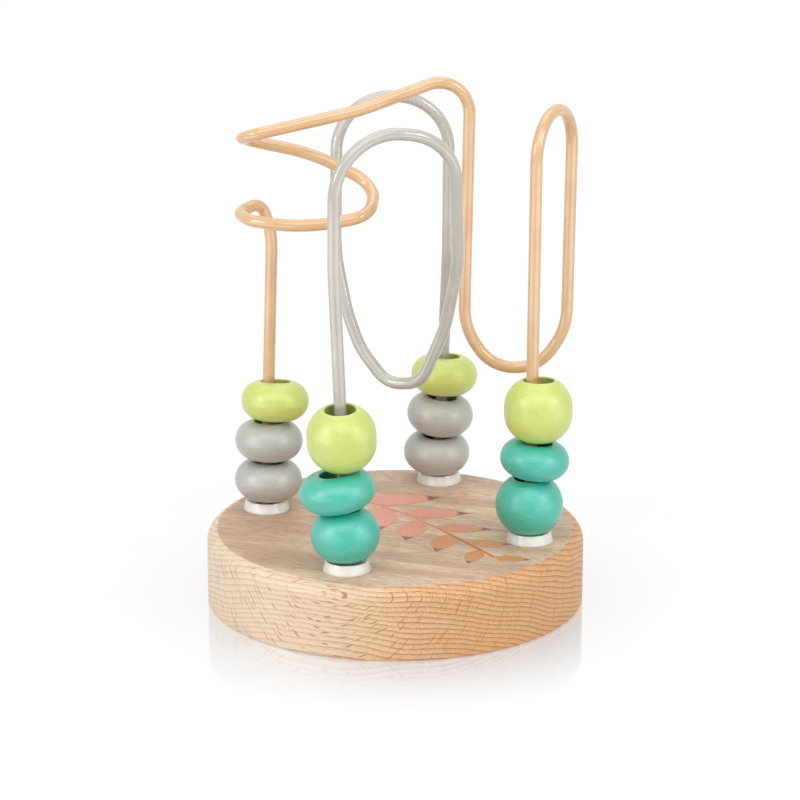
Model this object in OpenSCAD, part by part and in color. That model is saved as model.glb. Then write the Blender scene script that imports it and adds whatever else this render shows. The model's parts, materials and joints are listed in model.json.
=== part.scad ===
// A small bead maze: two bent wires stand on a round beech base and carry twelve wooden beads.
// Millimetres, +Z up, origin in the middle of the base's underside.
// The four wire feet stand near the X and Y axes: left -X, right +X, front -Y, back +Y.

/* [Base] */
// Diameter of the wooden disc
base_d = 125; // [118:1:150]
// Thickness of the wooden disc
base_h = 24.5; // [22:0.5:34]
// Radius of the rounded top edge
top_round = 4.5; // [2:0.5:7]
// Width of the small break on the bottom edge
foot_break = 0.8; // [0.4:0.1:2]
// Distance of the front and right wire feet from the disc's edge
foot_inset = 15.8; // [15:0.1:20]
// How much further out the back foot stands
back_foot_out = 3; // [0:0.5:3]
// How far the left foot stands back from the X axis
left_foot_back = 2; // [0:0.5:4]

/* [Wire] */
// Diameter of the coated wire
wire_d = 4; // [3.4:0.1:4.6]
// How much thinner the wire is where it is drawn round a bend
bend_thin = 0.06; // [0.04:0.01:0.12]
// Height above the base at which each leg starts to lean
stem_h = 7; // [6.5:0.5:9]
// Bend radius where a leg starts to lean and where a strand eases round
ease_r = 60; // [40:1:70]

/* [Peach wire] */
// Height of the corkscrew's first turn above the base
turn_h = 105.5; // [95:0.5:112]
// Rise from the first turn to the hairpin at its end
turn_rise = 26; // [22:0.5:34]
// Height of the shoulder where the top strand drops
shoulder_h = 151.5; // [140:0.5:165]
// Height of the lowest point between shoulder and arch
dip_h = 51; // [48:0.5:70]
// Height of the narrow arch above the right foot
arch_h = 140.5; // [120:0.5:160]
// Bend radius where the left leg leans into its top bend
leg_lean_r = 30; // [20:1:32]
// Bend radius at the top of the left leg
leg_bend_r = 5; // [4:0.5:6]
// Bend radius of the corkscrew's left ends
hairpin_r = 7; // [5:0.5:7]
// Bend radius of the corkscrew's right end
screw_r = 9; // [6:0.5:9]
// Bend radius of the corkscrew's front strand
strand_r = 38; // [25:1:42]
// Bend radius of the shoulder
shoulder_r = 10.5; // [6:0.5:14]
// Bend radius of the dip's two bottom corners
dip_r = 14; // [9:0.5:14]
// Bend radius of the dip's two sides
dip_side_r = 23; // [15:0.5:23]
// Bend radius of the narrow arch
arch_r = 14.5; // [10:0.5:14.5]

/* [Grey wire] */
// Height of the front crown above the base
crown_h = 143.5; // [125:0.5:160]
// Drop of the crown from its left shoulder to its right one
crown_fall = 6.5; // [3:0.5:9]
// Height of the back crown above the base
back_crown_h = 138.5; // [125:0.5:160]
// Height of the coil's low end above the base
coil_low_h = 48.5; // [46:0.5:60]
// Bend radius of the front crown
crown_r = 20; // [14:0.5:20]
// Bend radius of the back crown
back_crown_r = 18.5; // [14:0.5:18.5]
// Bend radius of the coil's low end
coil_low_r = 10; // [7:0.5:10]
// Bend radius where the coil turns up on its left
coil_bend_r = 24; // [15:1:26]
// Bend radius of the coil's two sides
coil_side_r = 45; // [30:1:50]

/* [Collar] */
// Diameter of the collar's foot
collar_d = 15.7; // [14:0.1:18]
// Height of the collar's lip above the base
collar_h = 3.4; // [2.8:0.1:3.8]
// Height of the collar's upright edge
collar_edge = 0.4; // [0.3:0.1:0.8]
// How far the collar's flank leans in between its edge and its lip
collar_lean = 1; // [0.6:0.1:1.4]
// Width of the collar's flat lip
collar_lip = 0.25; // [0.15:0.05:0.5]
// Drop of the collar's dished seat per millimetre towards the wire
dish_fall = 0.6; // [0.4:0.05:0.7]
// Diameter of the sleeve that sits in the base
sleeve_d = 8; // [7:0.1:9]
// Length of the sleeve
sleeve_h = 7; // [5:0.5:9]

/* [Retainers] */
// Diameter of the plugged hole under each foot
plug_d = 12; // [10:0.5:14]
// Depth of the plugged hole
plug_hole_h = 8; // [7:0.5:9]
// Thickness of the wooden plug
plug_h = 4; // [3:0.5:5]
// How far the plug sits inside the base's underside
plug_recess = 0.3; // [0.2:0.1:1]
// Diameter of the push nut
nut_d = 10.5; // [9:0.5:11]
// Thickness of the push nut
nut_h = 0.8; // [0.5:0.1:1.2]
// Length of wire that stands out below the push nut
wire_tail = 1.5; // [1:0.1:2]
// Number of slits between the push nut's teeth
nut_slits = 6; // [4:1:8]
// Width of one slit
nut_slit_w = 0.7; // [0.5:0.1:1]
// Width of the push nut's unbroken rim
nut_rim = 1.6; // [1.2:0.1:2]

/* [Beads] */
// Diameter of a round bead
ball_d = 22.2; // [22:0.1:24]
// Height of a round bead over its two mouths
ball_h = 18.4; // [16:0.1:19]
// Height of the short round bead at the foot of the front leg
short_h = 16.6; // [15:0.1:18]
// Height of the two barrel beads at the top of the front and right legs
barrel_h = 20; // [18:0.1:20.5]
// Height of the straight band round a barrel bead's middle
barrel_band = 2.4; // [1.2:0.1:4]
// Diameter of a flat bead
disc_d = 22.6; // [20:0.1:24]
// Diameter of the wide flat bead on the front leg
wide_d = 24.4; // [22:0.1:25]
// Height of a flat bead over its two mouths
disc_h = 13.1; // [10:0.1:13.5]
// Height of the two thin flat beads on the front and right legs
thin_h = 11.7; // [10:0.1:13]
// Diameter of the hole through every bead
bead_hole = 10; // [9:0.1:11]
// Width of the eased edge round each mouth
mouth_ease = 0.6; // [0.3:0.1:1]

/* [Clearances] */
// Gap all round a piece that is pressed into its hole
press_gap = 0.05; // [0.02:0.01:0.1]
// Gap all round the wire where it passes the solid wood
pass_gap = 0.3; // [0.2:0.1:0.5]
// Gap between a bead and the bead it rests on or the wire it leans against
rest_gap = 0.5; // [0.45:0.05:0.7]
// Gap between a leg's lowest bead and its collar
seat_gap = 0.25; // [0.2:0.05:0.5]

/* [Hidden] */
$fn = 48;

beech = "#dcb98f";
peach = "#e9b982";
pebble = "#c9c4b8";
ivory = "#f4f1ea";
steel = "#b9bcc0";
lime = "#b9cf55";
teal = "#3fbfa6";
stone = "#a7a19c";

// One cut runs this far past a face so that the face is cut clean
over = 1;
// A straight runs this far into the bend that follows it
lap = 0.2;

foot_r = base_d / 2 - foot_inset;
LEFT = 0;
FRONT = 1;
BACK = 2;
RIGHT = 3;
feet = [[-foot_r, left_foot_back], [0, -foot_r], [-back_foot_out / 2, foot_r + back_foot_out], [foot_r, 0]];
nut_z = plug_hole_h - nut_h;
tail_h = nut_z - wire_tail - base_h;

// Routes: x, y, height above the base, bend radius
function foot_end(i) = [feet[i][0], feet[i][1], tail_h, 0];
function stem(i) = [feet[i][0], feet[i][1], stem_h, ease_r];

peach_route = [
  foot_end(LEFT),
  stem(LEFT),
  [-43.5, 1.5, turn_h - 10, leg_lean_r],
  [-46.5, 0, turn_h + 1, leg_bend_r],
  [-50.5, -11, turn_h - 0.5, hairpin_r],
  [-43, -19.5, turn_h - 0.5, hairpin_r],
  [-24, -20.5, turn_h - 1.5, strand_r],
  [-5.5, -8.5, turn_h + 1.5, screw_r],
  [-9.5, 7.5, turn_h + 8, screw_r],
  [-29, 0.5, turn_h + 18.5, ease_r],
  [-50.5, -6, turn_h + turn_rise - 3, hairpin_r],
  [-44.5, -21, turn_h + turn_rise + 1, hairpin_r],
  [-11.5, 0.5, turn_h + turn_rise + 8, ease_r],
  [19, 19.5, shoulder_h, shoulder_r],
  [17.5, 19, dip_h + 13.5, dip_side_r],
  [26.5, 22, dip_h, dip_r],
  [41, 27, dip_h, dip_r],
  [49.5, 30, dip_h + 13.5, dip_side_r],
  [50.5, 30.5, arch_h + 1, arch_r],
  [47.5, 0.5, arch_h - 1, arch_r],
  stem(RIGHT),
  foot_end(RIGHT)
];

grey_route = [
  foot_end(FRONT),
  stem(FRONT),
  [-4, -46.5, crown_h - 45, ease_r],
  [-4, -45.5, crown_h, crown_r],
  [27, -20, crown_h - crown_fall, crown_r],
  [24, -7.5, coil_low_h + 44.5, ease_r],
  [18, -2, coil_low_h + 22, coil_side_r],
  [9, 0, coil_low_h + 1.5, coil_low_r],
  [-3.5, 2, coil_low_h - 0.5, coil_low_r],
  [-13.5, 4, coil_low_h + 10, coil_bend_r],
  [-18.5, 5.5, coil_low_h + 21, coil_side_r],
  [-25, 11.5, coil_low_h + 40, ease_r],
  [-30, 27.5, back_crown_h, back_crown_r],
  [3, 46, back_crown_h - 3.5, back_crown_r],
  [2.5, 46.5, back_crown_h - 55, ease_r],
  stem(BACK),
  foot_end(BACK)
];

function spot(p) = [p[0], p[1], base_h + p[2]];
function unit(v) = v / norm(v);
function heading(route, i) = unit(spot(route[i + 1]) - spot(route[i]));
function turn(route, i) = acos(heading(route, i - 1) * heading(route, i));
function inner(route, i) = i > 0 && i < len(route) - 1;
function reach(route, i) = inner(route, i) ? route[i][3] * tan(turn(route, i) / 2) : 0;
function overlap(route, i) = inner(route, i) ? lap : 0;
// A run steeper than this rise takes its side from Y, any other from Z
steep = 0.9;
function across(v) = unit(abs(v[2]) < steep ? cross([0, 0, 1], v) : cross([0, 1, 0], v));

// Direction of each leg, from where it leans to its first bend
last_peach = len(peach_route) - 1;
last_grey = len(grey_route) - 1;
leg = [
  heading(peach_route, 1),
  heading(grey_route, 1),
  -heading(grey_route, last_grey - 2),
  -heading(peach_route, last_peach - 2)
];

// A bead's outline is one arc of radius R - c about a point c from its axis, halved by any straight band
BALL = 0;
SHORT = 1;
BARREL = 2;
DISC = 3;
THIN = 4;
WIDE = 5;
bead_ds = [ball_d, ball_d, ball_d, disc_d, disc_d, wide_d];
bead_hs = [ball_h, short_h, barrel_h, disc_h, thin_h, thin_h];
bead_bands = [0, 0, barrel_band, 0, 0, 0];
mouth_r = bead_hole / 2 + mouth_ease;
function arc_at(kind) =
  let (d = bead_ds[kind], rise = (bead_hs[kind] - bead_bands[kind]) / 2)
  (pow(d / 2, 2) - pow(mouth_r, 2) - pow(rise, 2)) / (d - 2 * mouth_r);

// How a bead lies: kind, share of its play it has slid, which way, tilt, which side is raised
lie = [
  [[DISC, 0.25, 20, 2, 290], [DISC, 0.2, 20, 5, 290], [DISC, 0.9, 20, 9, 290]],
  [[SHORT, 0.1, 200, 1, 290], [WIDE, 0.85, 200, 6, 20], [BARREL, 0.2, 290, 7, 110]],
  [[DISC, 0.35, 200, 2, 110], [DISC, 0.1, 200, 4, 200], [DISC, 0.25, 20, 7, 290]],
  [[BALL, 0.1, 200, 1, 110], [THIN, 0.5, 20, 6, 200], [BARREL, 0.85, 20, 3, 290]]
];
play = (bead_hole - wire_d) / 2 - rest_gap;
function slid(b) = b[1] * play * [cos(b[2]), sin(b[2])];
function slope(b) = tan(b[3]) * [cos(b[4]), sin(b[4])];
function lean(v) = -[v[0], v[1]] / v[2];

// Height of a bead's skin above its middle, r from its axis
function skin(kind, r) =
  let (c = arc_at(kind), arc_r = bead_ds[kind] / 2 - c)
  min(bead_hs[kind] / 2, bead_bands[kind] / 2 + sqrt(pow(arc_r, 2) - pow(r - c, 2)));
function on_bead(b, x) =
  let (r = norm(x - slid(b)))
  r >= mouth_r - tiny && r <= bead_ds[b[0]] / 2;
function top_of(b, x) = skin(b[0], norm(x - slid(b))) + slope(b) * (x - slid(b));
function under(b, x) = -skin(b[0], norm(x - slid(b))) + slope(b) * (x - slid(b));

// Rings of points round a bead's mouth, where it can touch what lies below or above it
ring_step = 0.25;
ring_turn = 15;
ring_width = 3;
tiny = 0.001;
function rings(b) = [
  for (r = [mouth_r : ring_step : mouth_r + ring_width], a = [0 : ring_turn : 360 - ring_turn])
    slid(b) + r * [cos(a), sin(a)]
];

// A bead comes to rest where its underside first meets the collar or the bead below
collar_r = collar_d / 2;
lip_r = collar_r - collar_lean;
dish_r = lip_r - collar_lip;
function flank_z(r) = collar_h - (collar_h - collar_edge) * (r - lip_r) / collar_lean;
function dish_z(r) = collar_h - dish_fall * (dish_r - r);
function collar_z(r) = r > lip_r ? flank_z(r) : min(collar_h, dish_z(r));
function seat(p) =
  let (b = lie[p][0])
  max([
    for (x = rings(b))
      if (norm(x) < collar_r)
        collar_z(norm(x)) - under(b, x) - lean(leg[p]) * x
  ]);
function pitch(low, high) = max([
  for (x = concat(rings(low), rings(high)))
    if (on_bead(low, x) && on_bead(high, x))
      top_of(low, x) - under(high, x)
]);
function bead_at(p, k) =
  k == 0 ? seat(p) + seat_gap : bead_at(p, k - 1) + pitch(lie[p][k - 1], lie[p][k]) + rest_gap;

module placed(x, y, z, at)
  multmatrix([
    [x[0], y[0], z[0], at[0]],
    [x[1], y[1], z[1], at[1]],
    [x[2], y[2], z[2], at[2]]
  ]) children();

module along(v, at) placed(across(v), cross(v, across(v)), v, at) children();

module straight(route, i) {
  v = heading(route, i);
  from = reach(route, i) - overlap(route, i);
  to = reach(route, i + 1) - overlap(route, i + 1);
  l = norm(spot(route[i + 1]) - spot(route[i])) - from - to;
  along(v, spot(route[i]) + v * from) cylinder(d = wire_d, h = l);
}

module bend(route, i) {
  v = heading(route, i - 1);
  w = heading(route, i);
  inward = unit(w - (v * w) * v);
  r = route[i][3];
  hub = spot(route[i]) - v * reach(route, i) + inward * r;
  placed(-inward, v, cross(-inward, v), hub)
    rotate_extrude(angle = turn(route, i))
      translate([r, 0])
        circle(d = wire_d - bend_thin);
}

module wire(route) {
  for (i = [0 : len(route) - 2])
    straight(route, i);
  for (i = [1 : len(route) - 2])
    bend(route, i);
}

module wire_peach() color(peach) wire(peach_route);

module wire_grey() color(pebble) wire(grey_route);

module base_outline() {
  r = base_d / 2;
  difference() {
    union() {
      square([r - top_round, base_h]);
      translate([0, foot_break])
        square([r, base_h - top_round - foot_break]);
      polygon([[0, 0], [r - foot_break, 0], [r, foot_break], [0, foot_break]]);
      translate([r - top_round, base_h - top_round])
        circle(r = top_round);
    }
    translate([-base_d, -over])
      square([base_d, base_h + 2 * over]);
  }
}

module base_disc() color(beech)
  difference() {
    rotate_extrude()
      base_outline();
    for (p = feet)
      translate([p[0], p[1], 0]) {
        translate([0, 0, -over])
          cylinder(d = plug_d + 2 * press_gap, h = plug_hole_h + over);
        cylinder(d = wire_d + 2 * pass_gap, h = base_h);
        translate([0, 0, base_h - sleeve_h])
          cylinder(d = sleeve_d + 2 * press_gap, h = sleeve_h + over);
      }
  }

module collar_body() {
  cylinder(r = collar_r, h = collar_edge);
  translate([0, 0, collar_edge])
    cylinder(r1 = collar_r, r2 = lip_r, h = collar_h - collar_edge);
  translate([0, 0, -sleeve_h])
    cylinder(d = sleeve_d, h = sleeve_h);
}

module collar(p) color(ivory)
  translate([feet[p][0], feet[p][1], base_h])
    difference() {
      collar_body();
      translate([0, 0, dish_z(0)])
        cylinder(r1 = 0, r2 = dish_r, h = collar_h - dish_z(0));
      translate([0, 0, -sleeve_h - over])
        cylinder(d = wire_d + 2 * press_gap, h = sleeve_h + collar_h + 2 * over);
    }

module push_nut(p) color(steel)
  translate([feet[p][0], feet[p][1], nut_z])
    difference() {
      cylinder(d = nut_d, h = nut_h);
      translate([0, 0, -over])
        cylinder(d = wire_d + 2 * press_gap, h = nut_h + 2 * over);
      for (i = [0 : nut_slits - 1])
        rotate(i * 360 / nut_slits)
          translate([0, -nut_slit_w / 2, -over])
            cube([nut_d / 2 - nut_rim, nut_slit_w, nut_h + 2 * over]);
    }

module hole_plug(p) color(beech)
  translate([feet[p][0], feet[p][1], plug_recess])
    cylinder(d = plug_d, h = plug_h - plug_recess);

module bead_outline(kind) {
  r = bead_ds[kind] / 2;
  c = arc_at(kind);
  band = bead_bands[kind];
  for (side = band > 0 ? [-1, 1] : [0])
    translate([c, side * band / 2])
      circle(r = r - c);
  if (band > 0)
    translate([0, -band / 2])
      square([r, band]);
}

module bead_body(kind) {
  h = bead_hs[kind];
  difference() {
    rotate_extrude()
      intersection() {
        bead_outline(kind);
        translate([bead_hole / 2, -h / 2])
          square([bead_ds[kind] / 2, h]);
      }
    for (side = [0, 1])
      mirror([0, 0, side])
        translate([0, 0, h / 2 - mouth_ease])
          cylinder(r1 = bead_hole / 2, r2 = mouth_r, h = mouth_ease);
  }
}

module bead(p, k, shade) {
  b = lie[p][k];
  v = leg[p];
  side = slid(b);
  middle = spot(stem(p)) + v * (bead_at(p, k) - stem_h);
  color(shade)
    along(v, middle)
      translate([side[0], side[1], 0])
        rotate(a = b[3], v = [sin(b[4]), -cos(b[4]), 0])
          bead_body(b[0]);
}

base_disc();
wire_peach();
wire_grey();
collar(LEFT);  // left_collar
collar(FRONT);  // front_collar
collar(BACK);  // back_collar
collar(RIGHT);  // right_collar
push_nut(LEFT);  // left_push_nut
push_nut(FRONT);  // front_push_nut
push_nut(BACK);  // back_push_nut
push_nut(RIGHT);  // right_push_nut
hole_plug(LEFT);  // left_hole_plug
hole_plug(FRONT);  // front_hole_plug
hole_plug(BACK);  // back_hole_plug
hole_plug(RIGHT);  // right_hole_plug
bead(LEFT, 0, stone);  // left_grey_bead_lower
bead(LEFT, 1, stone);  // left_grey_bead_upper
bead(LEFT, 2, lime);  // left_lime_bead
bead(FRONT, 0, teal);  // front_teal_ball
bead(FRONT, 1, teal);  // front_teal_bead
bead(FRONT, 2, lime);  // front_lime_ball
bead(BACK, 0, stone);  // back_grey_bead_lower
bead(BACK, 1, stone);  // back_grey_bead_upper
bead(BACK, 2, lime);  // back_lime_bead
bead(RIGHT, 0, teal);  // right_teal_ball
bead(RIGHT, 1, teal);  // right_teal_bead
bead(RIGHT, 2, lime);  // right_lime_ball
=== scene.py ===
# %% [markdown]
# # A bead maze in Blender
# A bead maze is a baby's first sorting toy: two bent wires stand on a wooden base, and beads slide along
# them. The sizes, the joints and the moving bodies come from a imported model. This lesson gives the toy
# its finish: oiled beech, coated wire, satin paint and ivory collars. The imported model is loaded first
# and is never moved, so every piece made here sits where the real one does.

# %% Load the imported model
import json
import math

import bmesh
import bpy
from mathutils import Matrix, Vector


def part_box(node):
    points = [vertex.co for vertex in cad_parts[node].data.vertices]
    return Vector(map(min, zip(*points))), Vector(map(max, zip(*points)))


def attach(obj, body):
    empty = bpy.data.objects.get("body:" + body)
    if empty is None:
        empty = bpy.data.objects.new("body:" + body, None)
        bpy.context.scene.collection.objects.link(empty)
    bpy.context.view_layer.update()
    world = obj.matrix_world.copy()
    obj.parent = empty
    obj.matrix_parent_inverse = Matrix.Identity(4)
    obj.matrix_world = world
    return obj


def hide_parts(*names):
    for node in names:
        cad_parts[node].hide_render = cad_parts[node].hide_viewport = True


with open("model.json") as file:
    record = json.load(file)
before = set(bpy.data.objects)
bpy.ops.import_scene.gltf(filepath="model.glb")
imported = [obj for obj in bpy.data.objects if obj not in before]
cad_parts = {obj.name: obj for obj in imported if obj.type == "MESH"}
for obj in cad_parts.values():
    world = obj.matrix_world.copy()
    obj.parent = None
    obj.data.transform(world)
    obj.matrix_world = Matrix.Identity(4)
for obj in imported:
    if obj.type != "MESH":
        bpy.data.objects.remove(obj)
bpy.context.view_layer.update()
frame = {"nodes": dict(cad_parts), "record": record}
MM = 0.001
FEET = ("left", "front", "back", "right")
scene = bpy.context.scene

# %% [markdown]
# ## The camera
# The toy is seen from a little above and through a long lens, so upright legs stay almost parallel. A
# camera is easiest to set by what a photographer would note down: how far round the toy, how high, how
# far away, and which point is in the middle of the picture. An empty to track would also work, but a
# fixed camera needs only one rotation, so it is worked out here.

# %% Camera
VIEW_TURN = math.radians(19.28)
VIEW_RISE = math.radians(16.82)
VIEW_DISTANCE = 1.1037
VIEW_MIDDLE = Vector((0.0015, 0.0005, 0.0678))
LENS_MM = 151.0
SENSOR_MM = 36.0


def new_object(name, data):
    made = bpy.data.objects.new(name, data)
    scene.collection.objects.link(made)
    return made


def towards(turn, rise):
    """The direction from the toy to a place so far round it and so far up, in radians."""
    level = math.cos(rise)
    return Vector((math.sin(turn) * level, -math.cos(turn) * level, math.sin(rise)))


to_camera = towards(VIEW_TURN, VIEW_RISE)
camera = new_object("camera", bpy.data.cameras.new("camera"))
camera.data.lens = LENS_MM
camera.data.sensor_width = SENSOR_MM
camera.location = VIEW_MIDDLE + to_camera * VIEW_DISTANCE
camera.rotation_euler = (-to_camera).to_track_quat("-Z", "Y").to_euler()
scene.camera = camera
print("camera at", [round(c, 3) for c in camera.location])

# %% [markdown]
# ## Helpers for shader nodes
# Every finish below is a small network of nodes. Building one in code takes the same three moves again
# and again: add a node, fill its sockets, link it. A few short helpers keep the recipes readable. A
# socket that is given a number is set, and one that is given another node's output is linked.

# %% Node helpers
def fill(tree, socket, value):
    if isinstance(value, bpy.types.NodeSocket):
        tree.links.new(value, socket)
    else:
        socket.default_value = value


def put(tree, kind, settings=None, **inputs):
    made = tree.nodes.new(kind)
    for key, value in (settings or {}).items():
        setattr(made, key, value)
    for key, value in inputs.items():
        fill(tree, made.inputs[key.replace("_", " ")], value)
    return made


def calc(tree, operation, *values):
    made = put(tree, "ShaderNodeMath", {"operation": operation})
    for socket, value in zip(made.inputs, values):
        fill(tree, socket, value)
    return made.outputs[0]


def mixed(tree, factor, first, second, way="MIX"):
    """Mixes two colours, which a Mix node takes at its seventh and eighth sockets."""
    made = put(tree, "ShaderNodeMix", {"data_type": "RGBA", "blend_type": way})
    sockets = (made.inputs[0], made.inputs[6], made.inputs[7])
    for socket, value in zip(sockets, (factor, first, second)):
        fill(tree, socket, value)
    return made.outputs[2]


def ramp(tree, value, low, high, start=0.0, end=1.0):
    made = put(tree, "ShaderNodeMapRange", {"interpolation_type": "SMOOTHSTEP"}, Value=value,
               From_Min=low, From_Max=high, To_Min=start, To_Max=end)
    return made.outputs[0]


def colour(red, green, blue):
    """A colour in screen values from 0 to 255, turned into the linear values that Blender works in."""
    return tuple(((c / 255 + 0.055) / 1.055) ** 2.4 for c in (red, green, blue)) + (1.0,)


print("middle grey is", round(colour(128, 128, 128)[0], 3), "in linear light")

# %% Groups and materials
NUMBER = "NodeSocketFloat"
VECTOR = "NodeSocketVector"
PER_METRE = (1000, 1000, 1000)


def new_group(name, inputs, outputs):
    tree = bpy.data.node_groups.new(name, "ShaderNodeTree")
    for socket, kind, value in inputs:
        made = tree.interface.new_socket(socket, in_out="INPUT", socket_type=kind)
        if value is not None:
            made.default_value = value
    for socket in outputs:
        tree.interface.new_socket(socket, in_out="OUTPUT", socket_type=NUMBER)
    given = tree.nodes.new("NodeGroupInput").outputs
    return tree, given, tree.nodes.new("NodeGroupOutput").inputs


def use_group(tree, group, **inputs):
    made = tree.nodes.new("ShaderNodeGroup")
    made.node_tree = group
    for key, value in inputs.items():
        fill(tree, made.inputs[key.replace("_", " ")], value)
    return made.outputs


def new_material(name):
    made = bpy.data.materials.new(name)
    made.use_nodes = True
    return made, made.node_tree, made.node_tree.nodes["Principled BSDF"]


def millimetres(tree, turn=(0.0, 0.0, 0.0)):
    """Object coordinates in millimetres, turned so that a pattern runs along the piece."""
    place = put(tree, "ShaderNodeTexCoord").outputs["Object"]
    return put(tree, "ShaderNodeMapping", Vector=place, Rotation=turn, Scale=PER_METRE).outputs[0]


BUMP_REACH = 0.00015


def bumped(tree, shader, height, strength):
    bump = put(tree, "ShaderNodeBump", Strength=strength, Distance=BUMP_REACH, Height=height)
    fill(tree, shader.inputs["Normal"], bump.outputs[0])


print("bumps reach", BUMP_REACH / MM, "mm")

# %% [markdown]
# ## Grain of beech
# Beech shows three things at once: growth rings, which end in a thin dark line; fine vessels drawn out
# along the fibre; and rays, thin ribbons that run from the heart to the bark. A ray shows as a short dash
# on a long face and as a long steep line on an end face. A picture wrapped round the disc would give the
# same pattern on every face. Here the grain is solid: it is worked out from the place inside the wood, so
# the sides and the top agree as they do on a real board. The board is tipped about its fibre, because it
# was sawn beside the heart.

# %% Figures of the grain
BARK_TILT = math.radians(19)
RING_W = 1.7
# How dark a year grows: slowly all along, steeply at its end, and where the next year starts
EARLY_SHARE = 0.1
LATE_POWER = 4.0
LATE_END = 0.92
# Lengths of each figure in millimetres: along the fibre, across it and towards the bark
BOW_LENGTHS = (60, 34, 26)
SHAKE_LENGTHS = (5, 2.5, 3.5)
SLIP_LENGTHS = (60, 0.5, 30)
BOLD_RAY = (5.4, 0.4, 18)
FINE_RAY = (3.6, 0.26, 12)
VESSEL = (4.5, 0.28, 0.28)
CLOUD = (70, 9, 7)
# How far in millimetres a ring bows and wavers, and how far a ray slips along the fibre
BOW = 9.0
SHAKE = 0.55
SLIP = 16.0
# Where a ray starts to fade and where it has gone, as shares of its lengths
BOLD_EDGE = (0.17, 0.29)
FINE_EDGE = (0.12, 0.24)
FINE_RAY_DEPTH = 0.6
VESSEL_DIP = 0.6
RAY_DIP = 0.35


def stretched(tree, place, lengths):
    scale = tuple(1 / length for length in lengths)
    return put(tree, "ShaderNodeMapping", Vector=place, Scale=scale).outputs[0]


def flecks(tree, place, lengths, thin, wide):
    """Spindles scattered through the wood: 1 in their middle, 0 outside."""
    cells = put(tree, "ShaderNodeTexVoronoi", Vector=stretched(tree, place, lengths), Scale=1.0,
                Randomness=1.0)
    return ramp(tree, cells.outputs["Distance"], thin, wide, 1.0, 0.0)


def drawn_noise(tree, place, lengths, detail):
    """Noise drawn out along the axes by these lengths."""
    made = put(tree, "ShaderNodeTexNoise", Vector=stretched(tree, place, lengths), Scale=1.0,
               Detail=detail, Roughness=0.55)
    return made.outputs["Fac"]


print("a ring every", RING_W, "mm")

# %% Beech grain group
def beech_grain():
    tree, given, result = new_group(
        "beech_grain", [("Vector", VECTOR, None), ("Ring Width", NUMBER, RING_W)],
        ("Rings", "Rays", "Vessels", "Cloud", "Height"))
    place = put(tree, "ShaderNodeMapping", Vector=given["Vector"], Rotation=(BARK_TILT, 0, 0)).outputs[0]
    to_bark = put(tree, "ShaderNodeSeparateXYZ", Vector=place).outputs["Z"]
    bow = calc(tree, "MULTIPLY", drawn_noise(tree, place, BOW_LENGTHS, detail=1.0), BOW)
    shake = calc(tree, "MULTIPLY", drawn_noise(tree, place, SHAKE_LENGTHS, detail=2.0), SHAKE)
    age = calc(tree, "ADD", calc(tree, "ADD", to_bark, bow), shake)
    year = calc(tree, "FRACT", calc(tree, "DIVIDE", age, given["Ring Width"]))
    early = calc(tree, "MULTIPLY", year, EARLY_SHARE)
    late = calc(tree, "MULTIPLY_ADD", calc(tree, "POWER", year, LATE_POWER), 1 - EARLY_SHARE, early)
    rings = calc(tree, "MULTIPLY", late, ramp(tree, year, LATE_END, 1.0, 1.0, 0.0))

    slip = calc(tree, "MULTIPLY", drawn_noise(tree, place, SLIP_LENGTHS, detail=0.0), SLIP)
    slipped = put(tree, "ShaderNodeVectorMath", {"operation": "ADD"})
    fill(tree, slipped.inputs[0], place)
    fill(tree, slipped.inputs[1], put(tree, "ShaderNodeCombineXYZ", X=slip).outputs[0])
    bold = flecks(tree, slipped.outputs["Vector"], BOLD_RAY, *BOLD_EDGE)
    fine = flecks(tree, slipped.outputs["Vector"], FINE_RAY, *FINE_EDGE)
    rays = calc(tree, "MAXIMUM", bold, calc(tree, "MULTIPLY", fine, FINE_RAY_DEPTH))

    vessels = drawn_noise(tree, place, VESSEL, detail=2.0)
    cloud = drawn_noise(tree, place, CLOUD, detail=2.0)
    open_wood = calc(tree, "SUBTRACT", 1.0, calc(tree, "MULTIPLY", vessels, VESSEL_DIP))
    height = calc(tree, "SUBTRACT", open_wood, calc(tree, "MULTIPLY", rays, RAY_DIP))
    figures = {"Rings": rings, "Rays": rays, "Vessels": vessels, "Cloud": cloud, "Height": height}
    for name, value in figures.items():
        fill(tree, result[name], value)
    return tree


BEECH_GRAIN = beech_grain()
print("grain group has", len(BEECH_GRAIN.nodes), "nodes")

# %% [markdown]
# ## Oiled beech
# The base is fine-sanded and has only a thin matt oil, so its gloss is low and the vessels stay open. Its
# side drinks in more oil than its planed top: the side runs from cream to honey along the board, and the
# top stays a cooler, pinker tan with long fine streaks, part of whose greyer cast is a painted sheen on
# the flat face. One flat colour under the grain would look like printed foil. So the colour is built in
# layers,
# as a painter would do it: the ground first, then the rings, the vessels and last the dark rays.

# %% Beech materials
CREAM = colour(243, 221, 195)
HONEY = colour(222, 173, 117)
PALE = colour(246, 226, 200)
RING_BROWN = colour(170, 100, 38)
RAY_BROWN = colour(182, 118, 58)
TOP_TAN_WITH_SHEEN = colour(230, 203, 176)
TOP_ROSE_WITH_SHEEN = colour(203, 171, 147)
VESSEL_BROWN = colour(160, 118, 92)
# How strongly the figures show: rings in cream and in honey wood, pale flecks, rays; then on the top
CREAM_RINGS = 0.55
HONEY_RINGS = 1.35
PALE_FLECKS = 0.45
SIDE_RAYS = 0.85
TOP_RINGS = 0.16
TOP_STREAKS = 0.7
TOP_RAYS = 0.5
OIL_ROUGH = (0.44, 0.6)
GRAIN_BUMP = 0.3
DRIFT = 36.0
PLANED_EDGE = 0.15


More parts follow.
